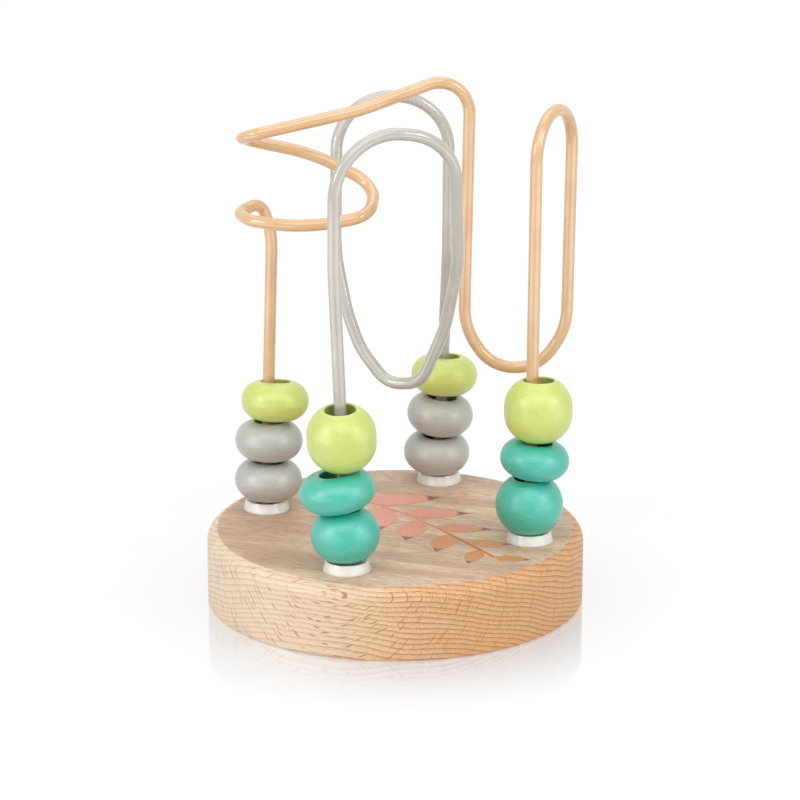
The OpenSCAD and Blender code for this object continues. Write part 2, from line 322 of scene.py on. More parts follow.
def beech(name, turn, honey_from, honey_to, planed_from):
    """Beech whose side goes from cream to honey along the fibre, planed above a height in millimetres."""
    made, tree, shader = new_material(name)
    place = millimetres(tree, turn)
    grain = use_group(tree, BEECH_GRAIN, Vector=place)
    axes = put(tree, "ShaderNodeSeparateXYZ", Vector=place).outputs
    along = calc(tree, "SUBTRACT", axes["X"], DRIFT / 2)
    ripe = ramp(tree, calc(tree, "MULTIPLY_ADD", grain["Cloud"], DRIFT, along), honey_from, honey_to)
    planed_top_with_sheen = ramp(tree, axes["Z"], planed_from, planed_from + PLANED_EDGE)

    side = mixed(tree, ripe, CREAM, HONEY)
    ring_depth = ramp(tree, ripe, 0.0, 1.0, CREAM_RINGS, HONEY_RINGS)
    ringed = mixed(tree, calc(tree, "MULTIPLY", grain["Rings"], ring_depth), side, RING_BROWN)
    flecked = mixed(tree, ramp(tree, grain["Vessels"], 0.32, 0.5, PALE_FLECKS, 0.0), ringed, PALE)
    rayed = mixed(tree, calc(tree, "MULTIPLY", grain["Rays"], SIDE_RAYS), flecked, RAY_BROWN)

    # The planed top's colours are partly its own pinker tone and partly a painted sheen that greys the
    # flat face.
    top = mixed(tree, ramp(tree, grain["Cloud"], 0.35, 0.65), TOP_ROSE_WITH_SHEEN, TOP_TAN_WITH_SHEEN)
    banded = mixed(tree, calc(tree, "MULTIPLY", grain["Rings"], TOP_RINGS), top, RING_BROWN)
    streaks = ramp(tree, grain["Vessels"], 0.5, 0.64, 0.0, TOP_STREAKS)
    streaked = mixed(tree, streaks, banded, VESSEL_BROWN)
    dashed = mixed(tree, calc(tree, "MULTIPLY", grain["Rays"], TOP_RAYS), streaked, VESSEL_BROWN)

    fill(tree, shader.inputs["Base Color"], mixed(tree, planed_top_with_sheen, rayed, dashed))
    fill(tree, shader.inputs["Roughness"], ramp(tree, grain["Vessels"], 0.3, 0.7, *OIL_ROUGH))
    bumped(tree, shader, grain["Height"], GRAIN_BUMP)
    return made


low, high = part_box("base_disc")
BASE_R = high.x / MM
BASE_H = high.z / MM
PLANED_DEPTH = 0.25
NEVER_PLANED = 1000.0
beech_board = beech("oiled_beech", turn=(0.0, 0.0, 0.0), honey_from=-28.0, honey_to=46.0,
                    planed_from=BASE_H - PLANED_DEPTH)
beech_dowel = beech("sanded_dowel", turn=(0.0, math.radians(90), 0.0), honey_from=-60.0, honey_to=60.0,
                    planed_from=NEVER_PLANED)
print("beech for the base and for the plugs")

# %% [markdown]
# ## Satin paint on turned beads
# The beads are turned beech, sprayed with a water-based paint and a clear lacquer: the paint gives a
# broad soft sheen, and the lacquer a smaller highlight on top. The paint is thin, so the wood still
# telegraphs through as fine lines, and it gathers paler on the crisp edge of each hole. Inside the hole
# the drill leaves a rougher wall, and the wall's colour is darkened as painted shade. A mask painted by
# hand could show this, but each shape of bead would need its own. Here every bead mesh carries two
# values, its bore and its rim, which the material reads back as attributes.

# %% Paint group
# Lengths of the wood's lines, the uneven patches and the spray in millimetres
PAINT_LINES = (6.0, 0.6, 0.6)
PAINT_PATCH = (9.0, 9.0, 9.0)
PAINT_SPRAY = (0.5, 0.5, 0.5)
# Their shares in the paint's tone, then in its height
LINES_TONE = 0.4
PATCH_TONE = 0.35
SPRAY_TONE = 0.25
LINES_HEIGHT = 0.6
SPRAY_HEIGHT = 0.4


def thin_paint():
    tree, given, result = new_group("thin_paint", [("Vector", VECTOR, None)], ("Tone", "Gloss", "Height"))
    lines = drawn_noise(tree, given["Vector"], PAINT_LINES, detail=2.0)
    patch = drawn_noise(tree, given["Vector"], PAINT_PATCH, detail=2.0)
    spray = drawn_noise(tree, given["Vector"], PAINT_SPRAY, detail=2.0)
    under = calc(tree, "MULTIPLY_ADD", lines, LINES_TONE, calc(tree, "MULTIPLY", patch, PATCH_TONE))
    film = calc(tree, "MULTIPLY", spray, SPRAY_HEIGHT)
    fill(tree, result["Tone"], calc(tree, "MULTIPLY_ADD", spray, SPRAY_TONE, under))
    fill(tree, result["Gloss"], spray)
    fill(tree, result["Height"], calc(tree, "MULTIPLY_ADD", lines, LINES_HEIGHT, film))
    return tree


THIN_PAINT = thin_paint()
print("paint group has", len(THIN_PAINT.nodes), "nodes")

# %% Three paints
SATIN_ROUGH = (0.42, 0.5)
BORE_ROUGH = 0.4
# How far the wall of the hole is darkened as painted shade
BORE_SHADE = 0.75
RIM_PALE = 0.5
PAINT_SPECULAR = 0.9
PAINT_LACQUER = 0.6
PAINT_LACQUER_ROUGH = 0.3
PAINT_BUMP = 0.1


def satin_paint(name, deep, light, rim):
    made, tree, shader = new_material(name)
    coat = use_group(tree, THIN_PAINT, Vector=millimetres(tree))
    bore = put(tree, "ShaderNodeAttribute", {"attribute_name": "bore"}).outputs["Fac"]
    edge = put(tree, "ShaderNodeAttribute", {"attribute_name": "rim"}).outputs["Fac"]
    body = mixed(tree, ramp(tree, coat["Tone"], 0.36, 0.64), deep, light)
    worn = mixed(tree, calc(tree, "MULTIPLY", edge, RIM_PALE), body, rim)
    # Painted shade: the wall of the hole is darkened towards half the paint's deep colour.
    bore_shade = tuple(c * 0.5 for c in deep[:3]) + (1.0,)
    drilled = mixed(tree, calc(tree, "MULTIPLY", bore, BORE_SHADE), worn, bore_shade)
    fill(tree, shader.inputs["Base Color"], drilled)
    smooth = ramp(tree, coat["Gloss"], 0.3, 0.7, *SATIN_ROUGH)
    fill(tree, shader.inputs["Roughness"], calc(tree, "MULTIPLY_ADD", bore, BORE_ROUGH, smooth))
    shader.inputs["Specular IOR Level"].default_value = PAINT_SPECULAR
    shader.inputs["Coat Weight"].default_value = PAINT_LACQUER
    shader.inputs["Coat Roughness"].default_value = PAINT_LACQUER_ROUGH
    bumped(tree, shader, coat["Height"], PAINT_BUMP)
    return made


# Each paint: where it is thick, where it is thin, and on the rim
PAINT_TONES = {
    "lime": (colour(200, 213, 90), colour(210, 220, 118), colour(226, 232, 166)),
    "teal": (colour(36, 178, 154), colour(58, 190, 168), colour(146, 220, 206)),
    "grey": (colour(178, 177, 171), colour(189, 188, 182), colour(208, 207, 203)),
}
paints = {name: satin_paint(f"{name}_paint", *tones) for name, tones in PAINT_TONES.items()}
print("paints:", ", ".join(paints))

# %% [markdown]
# ## Coated wire, collars and spring steel
# The wire is steel rod with a smooth glossy coat, which shows as one thin bright line along each bend.
# The collars are moulded in a slightly milky ivory plastic, so light that enters the lip also reaches the
# dish. The push nuts are stamped spring steel and stay hidden in the base. Four separate materials would
# say nearly the same thing four times, so one recipe takes the colours, the gloss, the metal, the
# milkiness and the lacquer. A faint unevenness keeps each highlight from being ruler-straight.

# %% Coat group
BROAD_SCALE = 0.09


def smooth_coat():
    tree, given, result = new_group(
        "smooth_coat", [("Vector", VECTOR, None), ("Grain", NUMBER, 0.5)], ("Tone", "Gloss", "Height"))
    broad, fine = (
        put(tree, "ShaderNodeTexNoise", Vector=given["Vector"], Scale=scale, Detail=2.0, Roughness=0.5)
        for scale in (BROAD_SCALE, given["Grain"]))
    fill(tree, result["Tone"], broad.outputs["Fac"])
    fill(tree, result["Gloss"], fine.outputs["Fac"])
    fill(tree, result["Height"], fine.outputs["Fac"])
    return tree


SMOOTH_COAT = smooth_coat()
print("coat group has", len(SMOOTH_COAT.nodes), "nodes")

# %% Coats, plastic and steel
LACQUER_ROUGH = 0.14
PLAIN_SPECULAR = 0.5
LACQUER_SPECULAR = 0.4
LIGHT_DEPTH = 0.003
LIGHT_SPREAD = (1.0, 0.95, 0.9)
COAT_BUMP = 0.08


def coated(name, deep, light, rough, grain, metal=0.0, milky=0.0, lacquer=0.0):
    made, tree, shader = new_material(name)
    coat = use_group(tree, SMOOTH_COAT, Vector=millimetres(tree), Grain=grain)
    tone = ramp(tree, coat["Tone"], 0.35, 0.65)
    fill(tree, shader.inputs["Base Color"], mixed(tree, tone, deep, light))
    fill(tree, shader.inputs["Roughness"], ramp(tree, coat["Gloss"], 0.3, 0.7, *rough))
    shader.inputs["Metallic"].default_value = metal
    shader.inputs["Coat Weight"].default_value = lacquer
    shader.inputs["Coat Roughness"].default_value = LACQUER_ROUGH
    shader.inputs["Specular IOR Level"].default_value = PLAIN_SPECULAR + LACQUER_SPECULAR * lacquer
    shader.inputs["Subsurface Weight"].default_value = milky
    shader.inputs["Subsurface Radius"].default_value = LIGHT_SPREAD
    shader.inputs["Subsurface Scale"].default_value = LIGHT_DEPTH
    bumped(tree, shader, coat["Height"], COAT_BUMP)
    return made


GLOSSY = (0.14, 0.2)
STAMPED = (0.26, 0.42)
peach_coat = coated("peach_coat", colour(222, 177, 126), colour(229, 186, 138), GLOSSY, grain=0.2,
                    lacquer=0.6)
grey_coat = coated("grey_coat", colour(189, 184, 173), colour(196, 191, 181), GLOSSY, grain=0.2,
                   lacquer=0.6)
ivory = coated("ivory_plastic", colour(245, 243, 235), colour(250, 249, 243), GLOSSY, grain=0.25,
               milky=0.3, lacquer=0.25)
spring_steel = coated("spring_steel", colour(150, 152, 156), colour(176, 178, 182), STAMPED, grain=1.6,
                      metal=1.0)
print("coats for the wires, collars and push nuts")

# %% [markdown]
# ## Turned pieces
# The base, the beads and the collars all come off a lathe or out of a round mould, so each is one outline
# swept about its axis. The Screw modifier would do this too. A short function is used instead, because
# the whole outline is then a list of points and the seam always closes. The outline is given as radius
# and height, and the faces are turned outwards at the end.

# %% Lathe
def arc(middle, radius, start, end, steps):
    """Points along an arc, angles in degrees."""
    turn = [math.radians(start + (end - start) * k / steps) for k in range(steps + 1)]
    return [(middle[0] + radius * math.cos(a), middle[1] + radius * math.sin(a)) for a in turn]


def turned(outline, steps):
    """A mesh about Z from a closed outline of (radius, height); a radius of 0 is a pole."""
    mesh = bmesh.new()
    turns = [2 * math.pi * k / steps for k in range(steps)]
    rings = []
    for radius, height in outline:
        if radius == 0:
            rings.append([mesh.verts.new((0, 0, height))] * steps)
            continue
        spots = [(radius * math.cos(a), radius * math.sin(a), height) for a in turns]
        rings.append([mesh.verts.new(spot) for spot in spots])
    for low, high in zip(rings, rings[1:] + rings[:1]):
        for k in range(steps):
            corners = [low[k], low[(k + 1) % steps], high[(k + 1) % steps], high[k]]
            corners = list(dict.fromkeys(corners))
            if len(corners) > 2:
                mesh.faces.new(corners)
    bmesh.ops.recalc_face_normals(mesh, faces=mesh.faces)
    return mesh


SMOOTH_ANGLE = math.radians(35)


def smoothed(data):
    data.shade_smooth()
    data.set_sharp_from_angle(angle=SMOOTH_ANGLE)


def finished(name, mesh, material, place=Matrix.Identity(4)):
    """Turns a bmesh in millimetres into a piece in metres, with smooth curves and crisp edges."""
    mesh.transform(Matrix.Scale(MM, 4) @ place)
    data = bpy.data.meshes.new(name)
    mesh.to_mesh(data)
    mesh.free()
    smoothed(data)
    data.materials.append(material)
    return new_object(name, data)


def baked(piece):
    """The plain mesh of a piece with its modifiers applied."""
    bpy.context.view_layer.update()
    return bpy.data.meshes.new_from_object(piece.evaluated_get(bpy.context.evaluated_depsgraph_get()))


print("lathe ready, edges past", round(math.degrees(SMOOTH_ANGLE)), "degrees stay crisp")

# %% [markdown]
# ## The base
# The base is one thick disc with a softly rounded top edge and a small break at the bottom. It is turned
# from the outline and then drilled from below and above at the four feet, as the real one is. The holes
# lie off the axis, so turning can't make them. A Boolean with one stepped drill per foot cuts the plug
# hole, the wire hole and the collar's seat together.

# %% Base disc
TOP_ROUND = 4.5
FOOT_BREAK = 0.8
PLUG_HOLE_R = 6.05
PLUG_HOLE_H = 8.0
WIRE_HOLE_R = 2.3
SEAT_R = 4.05
SEAT_H = 7.0
PAST = 1.0
DISC_STEPS = 256
DRILL_STEPS = 48


def foot_place(foot):
    low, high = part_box(f"{foot}_hole_plug")
    return Vector(((low.x + high.x) / 2 / MM, (low.y + high.y) / 2 / MM, 0))


disc_outline = [(0, 0), (BASE_R - FOOT_BREAK, 0)]
disc_outline += arc((BASE_R - FOOT_BREAK, FOOT_BREAK), FOOT_BREAK, -90, 0, 4)[1:]
disc_outline += arc((BASE_R - TOP_ROUND, BASE_H - TOP_ROUND), TOP_ROUND, 0, 90, 16)
disc_outline += [(0, BASE_H)]
base = finished("beech_base", turned(disc_outline, DISC_STEPS), beech_board)
print("base is", round(2 * BASE_R, 2), "mm across")

# %% Drill the feet
seat_floor = BASE_H - SEAT_H
drill_outline = [
    (0, -PAST), (PLUG_HOLE_R, -PAST), (PLUG_HOLE_R, PLUG_HOLE_H), (WIRE_HOLE_R, PLUG_HOLE_H),
    (WIRE_HOLE_R, seat_floor), (SEAT_R, seat_floor), (SEAT_R, BASE_H + PAST), (0, BASE_H + PAST),
]
for foot in FEET:
    place = Matrix.Translation(foot_place(foot))
    drill = finished("drill", turned(drill_outline, DRILL_STEPS), beech_board, place)
    cut = base.modifiers.new("drilled foot", "BOOLEAN")
    cut.operation = "DIFFERENCE"
    cut.solver = "EXACT"
    cut.object = drill
    drilled = baked(base)
    base.modifiers.remove(cut)
    base.data = drilled
    bpy.data.objects.remove(drill)
smoothed(base.data)
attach(base, "base")
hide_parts("base_disc")
print("base has", len(base.data.polygons), "faces")

# %% [markdown]
# ## The collars
# A collar is a small moulded bushing that hides the drilled hole and gives the lowest bead a dished seat.
# Its flank leans in from a short upright edge to a thin lip, and every corner is eased, because a moulded
# edge always catches a thin line of light. Bevelling a cone would not give the dish, so the outline is
# turned.

# %% Collars
COLLAR_R = 7.85
COLLAR_H = 3.4
COLLAR_EDGE = 0.4
LIP_R = 6.85
DISH_R = 6.6
DISH_FALL = 0.6
SLEEVE_R = 4.0
WIRE_SEAT_R = 2.05
DISH_RINGS = (6.5, 5.0, 3.5, WIRE_SEAT_R)
EASE = 0.25
LIP_EASE = 0.12
COLLAR_STEPS = 72


def collar_outline():
    corner = arc((COLLAR_R - EASE, EASE), EASE, -80, 0, 5)
    lip = arc((LIP_R - LIP_EASE, COLLAR_H - LIP_EASE), LIP_EASE, 18, 90, 4) + [(DISH_R, COLLAR_H)]
    dish = [(radius, COLLAR_H - DISH_FALL * (DISH_R - radius)) for radius in DISH_RINGS]
    sleeve = [(WIRE_SEAT_R, -SEAT_H), (SLEEVE_R, -SEAT_H), (SLEEVE_R, 0)]
    return sleeve + corner + [(COLLAR_R, COLLAR_EDGE)] + lip + dish


for foot in FEET:
    place = Matrix.Translation(foot_place(foot) + Vector((0, 0, BASE_H)))
    collar = finished(f"{foot}_bushing", turned(collar_outline(), COLLAR_STEPS), ivory, place)
    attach(collar, "base")
    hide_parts(f"{foot}_collar")
print("four collars,", len(collar.data.polygons), "faces each")

# %% [markdown]
# ## The beads
# Two shapes of bead repeat round the toy: a round one and a flat one. As in any batch of turned beads
# they vary: some balls are short or drawn out to a barrel, and some flat beads are thin or wide. A
# squashed sphere with a hole cut through it would be close, but its mouth would be sharp. So each is a
# single arc swept about the hole, cut flat at the two mouths, with the drilled edge eased by sanding. A
# barrel has a straight band between two halves of its arc. A bead hangs a little askew, because its hole
# is much wider than the wire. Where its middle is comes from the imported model, and the way it tips is
# written down here, bead by bead.

# %% Bead outlines
HOLE_R = 5.0
MOUTH_EASE = 0.6
# Each shape: how wide, how tall and how tall its straight band
BALL = (22.2, 18.4, 0.0)
SHORT_BALL = (22.2, 16.6, 0.0)
BARREL = (22.2, 20.0, 2.4)
FLAT = (22.6, 13.1, 0.0)
THIN_FLAT = (22.6, 11.7, 0.0)
WIDE_FLAT = (24.4, 11.7, 0.0)
BEAD_STEPS = 96
WALL_SKIN = 0.05


def bead_outline(across, tall, band):
    mouth = HOLE_R + MOUTH_EASE
    half = tall / 2
    rise = half - band / 2
    middle = ((across / 2) ** 2 - mouth ** 2 - rise ** 2) / (across - 2 * mouth)
    sweep = math.degrees(math.atan2(rise, mouth - middle))
    lower = arc((middle, -band / 2), across / 2 - middle, -sweep, 0, 20)
    upper = arc((middle, band / 2), across / 2 - middle, 0, sweep, 20)
    skin = lower + (upper if band else upper[1:])
    lip = arc((mouth, half - MOUTH_EASE), MOUTH_EASE, 90, 180, 5)[1:]
    wall = [(HOLE_R, half * k / 4) for k in (2, 1, 0, -1, -2)]
    return skin + lip + wall + [(r, -z) for r, z in reversed(lip)]


def bead_mesh(across, tall, band):
    """A bead with the values bore, 1 on the wall of its hole, and rim, 1 where the mouth's edge ends."""
    mesh = turned(bead_outline(across, tall, band), BEAD_STEPS)
    bore = mesh.verts.layers.float.new("bore")
    rim = mesh.verts.layers.float.new("rim")
    for vert in mesh.verts:
        out = math.hypot(vert.co.x, vert.co.y)
        vert[bore] = 1.0 if out < HOLE_R + WALL_SKIN else 0.0
        vert[rim] = max(0.0, 1 - abs(out - HOLE_R - MOUTH_EASE) / MOUTH_EASE)
    return mesh


print("bead outline points:", len(bead_outline(*BALL)), "and", len(bead_outline(*FLAT)))

# %% Beads on their legs
# How a bead tips: the node, its shape, the tilt in degrees and which way its raised side faces
STACKS = {
    "left": [("left_grey_bead_lower", FLAT, 2, 290), ("left_grey_bead_upper", FLAT, 5, 290),
             ("left_lime_bead", FLAT, 9, 290)],
    "front": [("front_teal_ball", SHORT_BALL, 1, 290), ("front_teal_bead", WIDE_FLAT, 6, 20),
              ("front_lime_ball", BARREL, 7, 110)],
    "back": [("back_grey_bead_lower", FLAT, 2, 110), ("back_grey_bead_upper", FLAT, 4, 200),
             ("back_lime_bead", FLAT, 7, 290)],
    "right": [("right_teal_ball", BALL, 1, 110), ("right_teal_bead", THIN_FLAT, 6, 200),
              ("right_lime_ball", BARREL, 3, 290)],
}
LEVELS = ("lower", "middle", "top")
slides = {joint["name"]: joint for joint in frame["record"]["behaviour"]["joints"]}


def bead_place(node, leg, tilt, raised):
    low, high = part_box(node)
    upright = Vector(leg)
    side = Vector((0, 1, 0)).cross(upright).normalized()
    stand = Matrix((side, upright.cross(side), upright)).transposed().to_4x4()
    facing = math.radians(raised)
    hinge = Vector((math.sin(facing), -math.cos(facing), 0))
    tip = Matrix.Rotation(math.radians(tilt), 4, hinge)
    return Matrix.Translation((low + high) / 2 / MM) @ stand @ tip


for foot, stack in STACKS.items():
    for level, (node, shape, tilt, raised) in zip(LEVELS, stack):
        paint = next(key for key in paints if key in node)
        place = bead_place(node, slides[f"{foot}_{level}_slide"]["axis"], tilt, raised)
        bead = finished(f"painted_{node}", bead_mesh(*shape), paints[paint], place)
        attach(bead, f"{foot}_{level}_bead")
        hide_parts(node)
print("twelve beads,", len(bead.data.polygons), "faces on the last")

# %% [markdown]
# ## The two wires
# Each wire is one length of rod, bent round formers of different sizes. The route is a list of corners,
# each with the radius it is bent to, and a short function rounds the corners off. Geometry Nodes then
# sweep a circle along it: the diameter and the number of sides stay named inputs, so both wires share one
# recipe. A curve with a bevel would look the same, but would not leave a mesh that the export can use.

# %% Wire routes
STEM_H = 7.0
EASE_R = 60.0
WIRE_END_H = 5.7


def stem(foot, out):
    """The two corners at a foot: in the base and at the point where the leg starts to lean."""
    spot = foot_place(foot)
    corners = [(spot.x, spot.y, WIRE_END_H - BASE_H, 0.0), (spot.x, spot.y, STEM_H, EASE_R)]
    return corners if out else corners[::-1]


# Corners between the feet: x, y, height above the base and bend radius
PEACH_ROUTE = stem("left", True) + [
    (-43.5, 1.5, 95.5, 30), (-46.5, 0, 106.5, 5), (-50.5, -11, 105, 7), (-43, -19.5, 105, 7),
    (-24, -20.5, 104, 38), (-5.5, -8.5, 107, 9), (-9.5, 7.5, 113.5, 9), (-29, 0.5, 124, 60),
    (-50.5, -6, 128.5, 7), (-44.5, -21, 132.5, 7), (-11.5, 0.5, 139.5, 60), (19, 19.5, 151.5, 10.5),
    (17.5, 19, 64.5, 23), (26.5, 22, 51, 14), (41, 27, 51, 14), (49.5, 30, 64.5, 23),
    (50.5, 30.5, 141.5, 14.5), (47.5, 0.5, 139.5, 14.5),
] + stem("right", False)
GREY_ROUTE = stem("front", True) + [
    (-4, -46.5, 98.5, 60), (-4, -45.5, 143.5, 20), (27, -20, 137, 20), (24, -7.5, 93, 60),
    (18, -2, 70.5, 45), (9, 0, 50, 10), (-3.5, 2, 48, 10), (-13.5, 4, 58.5, 24),
    (-18.5, 5.5, 69.5, 45), (-25, 11.5, 88.5, 60), (-30, 27.5, 138.5, 18.5), (3, 46, 135, 18.5),
    (2.5, 46.5, 83.5, 60),
] + stem("back", False)
BEND_STEP = math.radians(3)


def bent(route):
    """Points along the wire, with each corner rounded to its radius."""
    corners = [Vector(c[:3]) for c in route]
    points = [corners[0]]
    for before, corner, after, (*_, radius) in zip(corners, corners[1:], corners[2:], route[1:]):
        into = (corner - before).normalized()
        out = (after - corner).normalized()
        turn = into.angle(out)
        inward = (out - into * out.dot(into)).normalized()
        hub = corner - into * radius * math.tan(turn / 2) + inward * radius
        count = max(3, round(turn / BEND_STEP))
        for k in range(count + 1):
            angle = turn * k / count
            points.append(hub - inward * radius * math.cos(angle) + into * radius * math.sin(angle))
    return points + [corners[-1]]


print("wire points:", len(bent(PEACH_ROUTE)), "and", len(bent(GREY_ROUTE)))

# %% Helpers for Geometry Nodes
SHAPE = "NodeSocketGeometry"
COUNT = "NodeSocketInt"
FINISH = "NodeSocketMaterial"


def new_recipe(name, inputs):
    tree = bpy.data.node_groups.new(name, "GeometryNodeTree")
    for socket, kind in [("Geometry", SHAPE)] + inputs:
        tree.interface.new_socket(socket, in_out="INPUT", socket_type=kind)
    tree.interface.new_socket("Geometry", in_out="OUTPUT", socket_type=SHAPE)
    return tree, tree.nodes.new("NodeGroupInput").outputs


def end_recipe(tree, shape, finish):
    real = put(tree, "GeometryNodeRealizeInstances", Geometry=shape)
    dressed = put(tree, "GeometryNodeSetMaterial", Geometry=real.outputs[0], Material=finish)
    tree.links.new(dressed.outputs[0], tree.nodes.new("NodeGroupOutput").inputs[0])


def named_inputs(tree):
    return {i.name: i.identifier for i in tree.interface.items_tree if i.in_out == "INPUT"}


def path_object(name, points):
    data = bpy.data.curves.new(name, "CURVE")
    data.dimensions = "3D"
    line = data.splines.new("POLY")
    line.points.add(len(points) - 1)
    for spot, point in zip(line.points, points):
        spot.co = (*point, 1.0)
    return new_object(name, data)


def grown(name, source, recipe, **inputs):
    """Runs a Geometry Nodes recipe on an object and keeps the result as a plain mesh piece."""
    change = source.modifiers.new("recipe", "NODES")
    change.node_group = recipe
    sockets = named_inputs(recipe)
    for key, value in inputs.items():
        change[sockets[key.replace("_", " ")]] = value
    data = baked(source)
    source.modifiers.remove(change)
    bpy.data.objects.remove(source)
    data.name = name
    return new_object(name, data)


print("recipe helpers ready")

# %% Bend both wires
WIRE_D = 4.0
WIRE_SIDES = 32


def wire_recipe():
    tree, given = new_recipe("coated_wire", [("Diameter", NUMBER), ("Sides", COUNT), ("Finish", FINISH)])
    circle = put(tree, "GeometryNodeCurvePrimitiveCircle", {"mode": "RADIUS"}, Resolution=given["Sides"])
    tree.links.new(calc(tree, "MULTIPLY", given["Diameter"], 0.5), circle.inputs["Radius"])
    rod = put(tree, "GeometryNodeCurveToMesh", Curve=given["Geometry"],
              Profile_Curve=circle.outputs["Curve"], Fill_Caps=True)
    smooth = put(tree, "GeometryNodeSetShadeSmooth", Geometry=rod.outputs[0])
    end_recipe(tree, smooth.outputs[0], given["Finish"])
    return tree


WIRE_RECIPE = wire_recipe()
for name, route, finish in (("peach", PEACH_ROUTE, peach_coat), ("grey", GREY_ROUTE, grey_coat)):
    points = [(p + Vector((0, 0, BASE_H))) * MM for p in bent(route)]
    wire = grown(f"{name}_rod", path_object(f"{name}_path", points), WIRE_RECIPE,
                 Diameter=WIRE_D * MM, Sides=WIRE_SIDES, Finish=finish)
    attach(wire, "base")
    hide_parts(f"wire_{name}")
    print(name, "wire has", len(wire.data.polygons), "faces")

# %% [markdown]
# ## The hidden fixings
# Under each foot a push nut grips the wire's end, and a wooden plug closes the hole. Modelling them again
# would gain nothing: their shapes are right as they were built. They only need a finish, spring steel for
# the nuts and end-grain beech for the plugs.

# %% Push nuts and plugs
for foot in FEET:
    for piece, finish in (("push_nut", spring_steel), ("hole_plug", beech_dowel)):
        data = frame["nodes"][f"{foot}_{piece}"].data
        data.materials.clear()
        data.materials.append(finish)
print("finished", 2 * len(FEET), "hidden fixings")

# %% [markdown]
# ## The printed sprig
# The base's top carries a small print in coral and ochre with plum tips. Here it is a plain leafy sprig:
# a curved stem with leaves set left and right in turn. Ink could be painted by the wood's own material,
# but a film of ink as thin geometry keeps its edge sharp at any distance. Geometry Nodes set the leaves
# along the stem: one leaf is drawn once and placed again and again, with its size and turn following its
# place.

# %% Leaf shape
FILM_LOW = 0.02
FILM_HIGH = 0.06
LEAF_L = 27.0
LEAF_W = 12.0
LEAF_STEPS = 14
LEAF_BELLY = 0.8


def leaf_mesh():
    """One leaf along X as a thin closed film. Its value tip rises from 0 at the stalk to 1."""
    share = [k / LEAF_STEPS for k in range(LEAF_STEPS + 1)]
    upper = [(LEAF_L * s, LEAF_W / 2 * math.sin(math.pi * s ** LEAF_BELLY)) for s in share]
    outline = upper + [(x, -y) for x, y in reversed(upper[1:-1])]
    mesh = bmesh.new()
    tip = mesh.verts.layers.float.new("tip")
    films = []
    for height in (FILM_LOW, FILM_HIGH):
        ring = [mesh.verts.new((x, y, height)) for x, y in outline]
        for vert in ring:
            vert[tip] = vert.co.x / LEAF_L
        films.append(ring)
    mesh.faces.new(films[0][::-1])
    mesh.faces.new(films[1])
    for k in range(len(outline)):
        j = (k + 1) % len(outline)
        mesh.faces.new([films[0][k], films[0][j], films[1][j], films[1][k]])
    bmesh.ops.triangulate(mesh, faces=[f for f in mesh.faces if len(f.verts) > 4])
    mesh.transform(Matrix.Scale(MM, 4))
    data = bpy.data.meshes.new("leaf")
    mesh.to_mesh(data)
    mesh.free()
    return new_object("leaf", data)


leaf = leaf_mesh()
print("leaf has", len(leaf.data.polygons), "faces")

# %% Ink
CORAL = colour(229, 158, 140)
OCHRE = colour(205, 138, 74)
PLUM = colour(136, 72, 78)
THIN_INK = colour(236, 194, 172)
# Shares of the stem over which coral turns to ochre, and of a leaf over which its plum tip starts
OCHRE_RANGE = (0.25, 0.85)
TIP_RANGE = (0.8, 0.86)
INK_ROUGH = (0.42, 0.6)
SPECK_SCALE = 1.5
INK_WOOD = 0.35
INK_SPECKS = 0.6


def ink():
    made, tree, shader = new_material("print_ink")
    place = millimetres(tree)
    grain = use_group(tree, BEECH_GRAIN, Vector=place)
    along = put(tree, "ShaderNodeAttribute", {"attribute_name": "along"}).outputs["Fac"]
    tip = put(tree, "ShaderNodeAttribute", {"attribute_name": "tip"}).outputs["Fac"]
    noise = put(tree, "ShaderNodeTexNoise", Vector=place, Scale=SPECK_SCALE, Detail=3.0,
                Roughness=0.7)
    speck = noise.outputs["Fac"]
    warm = mixed(tree, ramp(tree, along, *OCHRE_RANGE), CORAL, OCHRE)
    tipped = mixed(tree, ramp(tree, tip, *TIP_RANGE), warm, PLUM)
    grainy = mixed(tree, ramp(tree, grain["Vessels"], 0.5, 0.75, 0.0, INK_WOOD), tipped, VESSEL_BROWN)
    spotted = mixed(tree, ramp(tree, speck, 0.5, 0.66, 0.0, INK_SPECKS), grainy, THIN_INK)
    fill(tree, shader.inputs["Base Color"], spotted)
    fill(tree, shader.inputs["Roughness"], ramp(tree, speck, 0.3, 0.7, *INK_ROUGH))
    bumped(tree, shader, grain["Height"], GRAIN_BUMP)
    return made


print_ink = ink()
print("ink has", len(print_ink.node_tree.nodes), "nodes")

# %% Sprig recipe in Geometry Nodes
FIRST_LEAF = 1.05
LEAF_TAPER = 0.6


